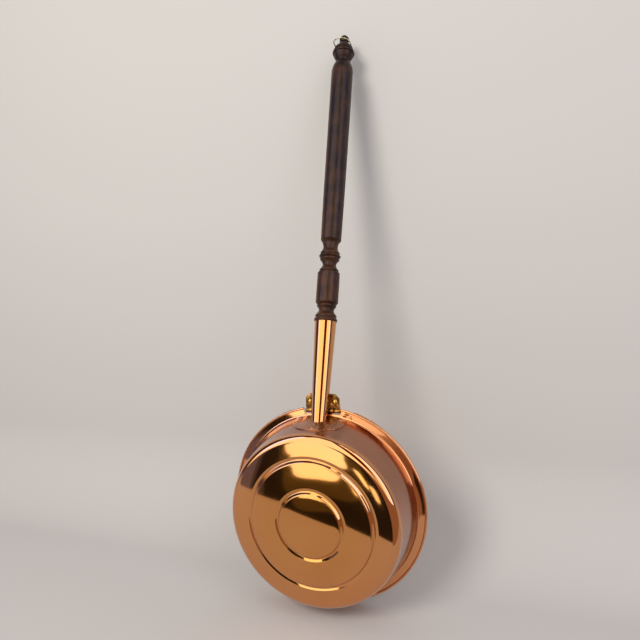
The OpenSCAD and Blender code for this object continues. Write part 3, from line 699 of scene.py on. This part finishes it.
def turned_outline():
    """The outline of the turned handle from the ferrule's mouth to the top of the knob."""
    s, r = FERRULE_LEN, FERRULE_TOP_R
    points = [(r, s)]
    for length, end, middle in TURNINGS:
        swell = middle / 2 - (r + end / 2) / 2
        for i in range(1, TURN_STEPS + 1):
            t = i / TURN_STEPS
            points.append((r + (end / 2 - r) * t + swell * math.sin(math.pi * t), s + length * t))
        s, r = s + length, end / 2
    for p in circle_part((0, 0), 1.0, -30, 90, KNOB_STEPS):
        points.append((KNOB_R * p.x, s + KNOB_HALF / 2 + KNOB_HALF * p.y))
    return points


def ferrule_r(s):
    """Outside radius of the ferrule above its waist, at length s from its foot."""
    slope = (FERRULE_TOP_R - FERRULE_WAIST_R) / (FERRULE_LEN - WAIST_AT)
    return FERRULE_WAIST_R + slope * (s - WAIST_AT)


def make_handle():
    """The turned handle, with its tenon and the cross hole for the ring."""
    tenon_s = FERRULE_LEN - TENON_LEN
    inside = FERRULE_WALL + 2 * SEAT
    tenon = [(0, tenon_s), (ferrule_r(tenon_s) - inside, tenon_s),
             (FERRULE_TOP_R - inside, FERRULE_LEN)]
    piece = to_object("handle", revolved(tenon + turned_outline(), TURNED))
    carved(piece, bar((-RING_HALF_W, 0, HOLE_S), (RING_HALF_W, 0, HOLE_S), WIRE_R + RING_PLAY))
    return dress(piece, WOOD, "wood", "pan", "handle", place=BENCH @ ON_HANDLE)


def make_screw():
    """The slotted screw that holds the tenon, at the back of the ferrule."""
    screw_s = FERRULE_LEN - SCREW_AT
    out = ferrule_r(screw_s + SCREW_HEAD_R) + SEAT
    shank = [(SCREW_SHANK_R, 0), (SCREW_SHANK_R, -SCREW_LEN), (0, -SCREW_LEN)]
    piece = to_object("screw", revolved(dome(SCREW_HEAD_R) + shank, SMALL))
    floor = 2 * SCREW_HEAD_R * HEAD_RATIO * SLOT_FLOOR
    carved(piece, block((-2 * SCREW_HEAD_R, -SLOT_W / 2, floor),
                        (2 * SCREW_HEAD_R, SLOT_W / 2, 2 * SCREW_HEAD_R)))
    lay = Matrix.Translation((0, -out, screw_s)) @ Matrix.Rotation(math.pi / 2, 4, "X")
    return dress(piece, BRASS, "brass", "pan", "handle_screw", place=BENCH @ ON_HANDLE @ lay)


def make_ring():
    """The wire runs through the finial, round two bends and a half circle back to its start."""
    run = RING_HALF_W - RING_BEND
    side = RING_REACH - RING_HALF_W - RING_BEND
    bm = bmesh.new()
    bmesh.ops.create_circle(bm, segments=WIRE_SIDES, radius=WIRE_R,
                            matrix=Matrix.Rotation(math.pi / 2, 4, "Y"))
    end = list(bm.edges)

    def straight(end, step):
        made = bmesh.ops.extrude_edge_only(bm, edges=end)["geom"]
        fresh = {v for v in made if isinstance(v, bmesh.types.BMVert)}
        bmesh.ops.translate(bm, verts=list(fresh), vec=step)
        return [e for e in made if isinstance(e, bmesh.types.BMEdge) and set(e.verts) <= fresh]

    def bend(end, centre, angle, steps):
        made = bmesh.ops.spin(bm, geom=end, cent=centre, axis=(0, 0, 1), angle=angle, steps=steps)
        return [e for e in made["geom_last"] if isinstance(e, bmesh.types.BMEdge)]

    end = straight(end, (run, 0, 0))
    end = bend(end, (run, RING_BEND, 0), math.pi / 2, WIRE_BEND_STEPS)
    end = straight(end, (0, side, 0))
    end = bend(end, (0, RING_BEND + side, 0), math.pi, RING_STEPS)
    end = straight(end, (0, -side, 0))
    end = bend(end, (-run, RING_BEND, 0), math.pi / 2, WIRE_BEND_STEPS)
    straight(end, (run, 0, 0))
    bmesh.ops.remove_doubles(bm, verts=bm.verts, dist=MERGED)
    bmesh.ops.recalc_face_normals(bm, faces=bm.faces)
    hole = ON_HANDLE @ Vector((0, 0, HOLE_S))
    lay = Matrix.Translation(hole) @ Matrix.Rotation(RING_LEAN - math.pi / 2, 4, "X")
    return dress(to_object("ring", bm), WIRE, "ring_wire", "ring", "hanging_ring",
                 place=BENCH @ lay)


# ---- the stage ----
FLOOR_Z = cad_box[0].z
BACKDROP_Y = 0.275                # the paper hangs right behind the top of the handle
PAPER_HALF_W, PAPER_TOP = 4.0, 3.0
CURVE_R, CURVE_STEPS = 0.16, 24
EDGE_Y = -0.261                   # front edge of the paper, as the copper shows it
EDGE_ALONG = Vector((0.924, 0.382, 0.0))


def paper():
    """Pale matt paper with a painted gradient of light, a little lighter higher up, and clear
    from behind so that it never hides the pan."""
    material, tree = blank("pale_paper")
    where = add(tree, "ShaderNodeSeparateXYZ",
                links={"Vector": add(tree, "ShaderNodeTexCoord").outputs["Object"]})
    # Painted light: the paper's colour is made a little lighter higher up.
    height = add(tree, "ShaderNodeMapRange", {"From Min": -0.14, "From Max": 0.45},
                 {"Value": where.outputs["Z"]})
    colour = ramp(tree, height.outputs["Result"],
                  [(0.0, linear("#D0CAC6")), (1.0, linear("#D6D1CC"))])
    matt = add(tree, "ShaderNodeBsdfDiffuse", links={"Color": colour.outputs["Color"]})
    clear = add(tree, "ShaderNodeBsdfTransparent")
    side = add(tree, "ShaderNodeNewGeometry").outputs["Backfacing"]
    finish_shader(tree, add(tree, "ShaderNodeMixShader",
                            links={0: side, 1: matt.outputs[0], 2: clear.outputs[0]}))
    return material


def make_paper():
    """A wide sheet of paper runs along the floor and up behind the pan. The copper shows a copy
    of it that ends just in front of the pan."""
    material = paper()
    bend = circle_part((BACKDROP_Y - CURVE_R, FLOOR_Z + CURVE_R), CURVE_R, -90, 0, CURVE_STEPS)
    outline = [(-PAPER_HALF_W, FLOOR_Z)] + [(p.x, p.y) for p in bend] + [(BACKDROP_Y, PAPER_TOP)]
    for name in ("paper", "paper_in_copper"):
        bm = bmesh.new()
        verts = [bm.verts.new((-PAPER_HALF_W, y, z)) for y, z in outline]
        edges = [bm.edges.new(pair) for pair in zip(verts, verts[1:])]
        made = bmesh.ops.extrude_edge_only(bm, edges=edges)["geom"]
        bmesh.ops.translate(bm, verts=[v for v in made if isinstance(v, bmesh.types.BMVert)],
                            vec=(2 * PAPER_HALF_W, 0, 0))
        in_copper = name == "paper_in_copper"
        if in_copper:
            everything = bm.verts[:] + bm.edges[:] + bm.faces[:]
            bmesh.ops.bisect_plane(bm, geom=everything, plane_co=(0, EDGE_Y, 0),
                                   plane_no=(EDGE_ALONG.y, -EDGE_ALONG.x, 0), clear_outer=True)
        sheet = to_object(name, bm)
        sheet.data.materials.append(material)
        sheet.data.shade_smooth()
        if sheet.data.polygons[0].normal.z < 0:
            sheet.data.flip_normals()
        sheet.visible_camera, sheet.visible_glossy = not in_copper, in_copper
        sheet.visible_diffuse = sheet.visible_shadow = False


# What the copper mirrors: coloured cards on a ball around the pan. Angles are in degrees:
# azimuth from -Y towards +X, and elevation.
BALL_R, PATCH_R = 2.6, 2.5        # bands hang behind patches
BAND_GAP, PATCH_GAP = 0.01, 0.02  # how far each card hangs in front of the one before it
BAND_STEPS, PATCH_STEPS = 12, 64
BANDS = (                         # name, left, right, low, high, colour, strength
    ("dark_card", -30, -6, -75, 0, "#2B2722", 1.0),
    ("dim_card", -31, -30, -75, 0, "#54525C", 1.0),
    ("lilac_card", -100, -31, -75, 0, "#78789A", 1.0),
    ("rosy_card", -6, 100, -75, 0, "#A0806C", 1.0),
    ("brown_card_left", -90, -60, 0, 75, "#5A4440", 1.0),
    ("blue_card_left", -60, -42, 9, 60, "#A6C0FF", 4.6),
    ("cream_card_left", -60, -42, 0, 9, "#FFFFE0", 2.0),
    ("pale_card", -42, 14, 0, 75, "#FFFFF0", 2.2),
    ("cream_card_right", 14, 42, 0, 17, "#FFF4DC", 1.0),
    ("red_card", 14, 42, 17, 60, "#6A3020", 1.0),
    ("pale_card_right", 42, 69, 0, 75, "#FFFFF0", 2.2),
    ("blue_card_right", 69, 82, 0, 60, "#A6C0FF", 4.6),
    ("brown_card_right", 82, 90, 0, 75, "#5A4440", 1.0),
)
# name, azimuth, elevation, half width, half height, slant, colour, strength
PATCHES = (
    ("olive_card", -19.4, -17.2, 7.0, 5.4, 0.0, "#5A5030", 1.0),
    ("gold_card", -20.6, -8.4, 5.4, 9.3, 0.0, "#FFFFE8", 2.3),
    ("low_gold_card", -20.4, -15.5, 4.4, 3.7, 0.0, "#FFFFE8", 2.3),
    ("small_gold_card", -13.8, -19.3, 0.7, 1.7, -0.35, "#FFFFD8", 2.4),
    ("smaller_gold_card", -11.3, -21.3, 0.9, 1.3, -0.35, "#FFFFD8", 2.0),
)
PATCH_CORNER = 0.55               # how square a patch's corners are: 1 is an ellipse, 0 a box


def on_ball(azimuth, elevation, radius):
    """A point on a ball around the pan."""
    a, e = math.radians(azimuth), math.radians(elevation)
    return Vector((math.sin(a) * math.cos(e), -math.cos(a) * math.cos(e), math.sin(e))) * radius


def hang(name, bm, colour, strength):
    """Hangs a glowing card that shows only in the copper, the brass and the waxed wood."""
    material, tree = blank(name)
    finish_shader(tree, add(tree, "ShaderNodeEmission",
                            {"Color": linear(colour), "Strength": strength}))
    card = to_object(name, bm)
    card.data.materials.append(material)
    card.visible_camera = card.visible_diffuse = card.visible_shadow = False
    card.visible_transmission = False


def make_cards():
    """Hangs the bands, and the patches in front of them."""
    for n, (name, left, right, low, high, colour, strength) in enumerate(BANDS):
        bm = bmesh.new()
        radius = BALL_R - BAND_GAP * n
        verts = [bm.verts.new(on_ball(left, low + (high - low) * i / BAND_STEPS, radius))
                 for i in range(BAND_STEPS + 1)]
        edges = [bm.edges.new(pair) for pair in zip(verts, verts[1:])]
        bmesh.ops.spin(bm, geom=verts + edges, cent=(0, 0, 0), axis=(0, 0, 1),
                       angle=math.radians(right - left), steps=max(4, int((right - left) / 4)))
        hang(name, bm, colour, strength)
    for n, patch in enumerate(PATCHES):
        name, azimuth, elevation, half_w, half_h, slant, colour, strength = patch
        bm = bmesh.new()
        outline = []
        for p in circle_part((0, 0), 1.0, 0, 360, PATCH_STEPS)[:-1]:
            across = half_w * math.copysign(abs(p.x) ** PATCH_CORNER, p.x)
            up = half_h * math.copysign(abs(p.y) ** PATCH_CORNER, p.y)
            outline.append(bm.verts.new(on_ball(azimuth + across + slant * up, elevation + up,
                                                PATCH_R - PATCH_GAP * n)))
        bm.faces.new(outline)
        hang(name, bm, colour, strength)


LIGHTS_AIM = Vector((0, 0, 0.25))


def make_lights():
    """Even light from all around, which metal shows greyer, and two softboxes in front."""
    world = bpy.data.worlds.new("studio")
    scene.world = world
    world.use_nodes = True
    tree = world.node_tree
    tree.nodes.clear()
    path = add(tree, "ShaderNodeLightPath")
    colour = add(tree, "ShaderNodeMix", {"A": linear("#FFFFFF"), "B": linear("#A9A9B4")},
                 {"Factor": path.outputs["Is Glossy Ray"]}, data_type="RGBA")
    sky = add(tree, "ShaderNodeBackground", {"Strength": 0.48},
              {"Color": colour.outputs["Result"]})
    add(tree, "ShaderNodeOutputWorld", links={"Surface": sky.outputs[0]})

    def softbox(name, at, size, power, colour):
        light = bpy.data.lights.new(name, "AREA")
        light.shape, light.size, light.energy = "DISK", size, power
        light.color = linear(colour)[:3]
        made = bpy.data.objects.new(name, light)
        scene.collection.objects.link(made)
        made.location = at
        aim = LIGHTS_AIM - Vector(at)
        made.rotation_euler = aim.to_track_quat("-Z", "Y").to_euler()
        made.visible_glossy = False

    softbox("key", (-0.5, -1.6, 1.35), 0.9, 23.5, "#FFFAF4")
    softbox("fill", (1.4, -1.2, 1.5), 1.4, 9.5, "#F4F5FF")


make_camera()
make_pan()
make_lid()
make_ferrule()
make_flange()
make_rivets()
make_pin()
make_hinge()
make_handle()
make_screw()
make_ring()
make_paper()
make_cards()
make_lights()
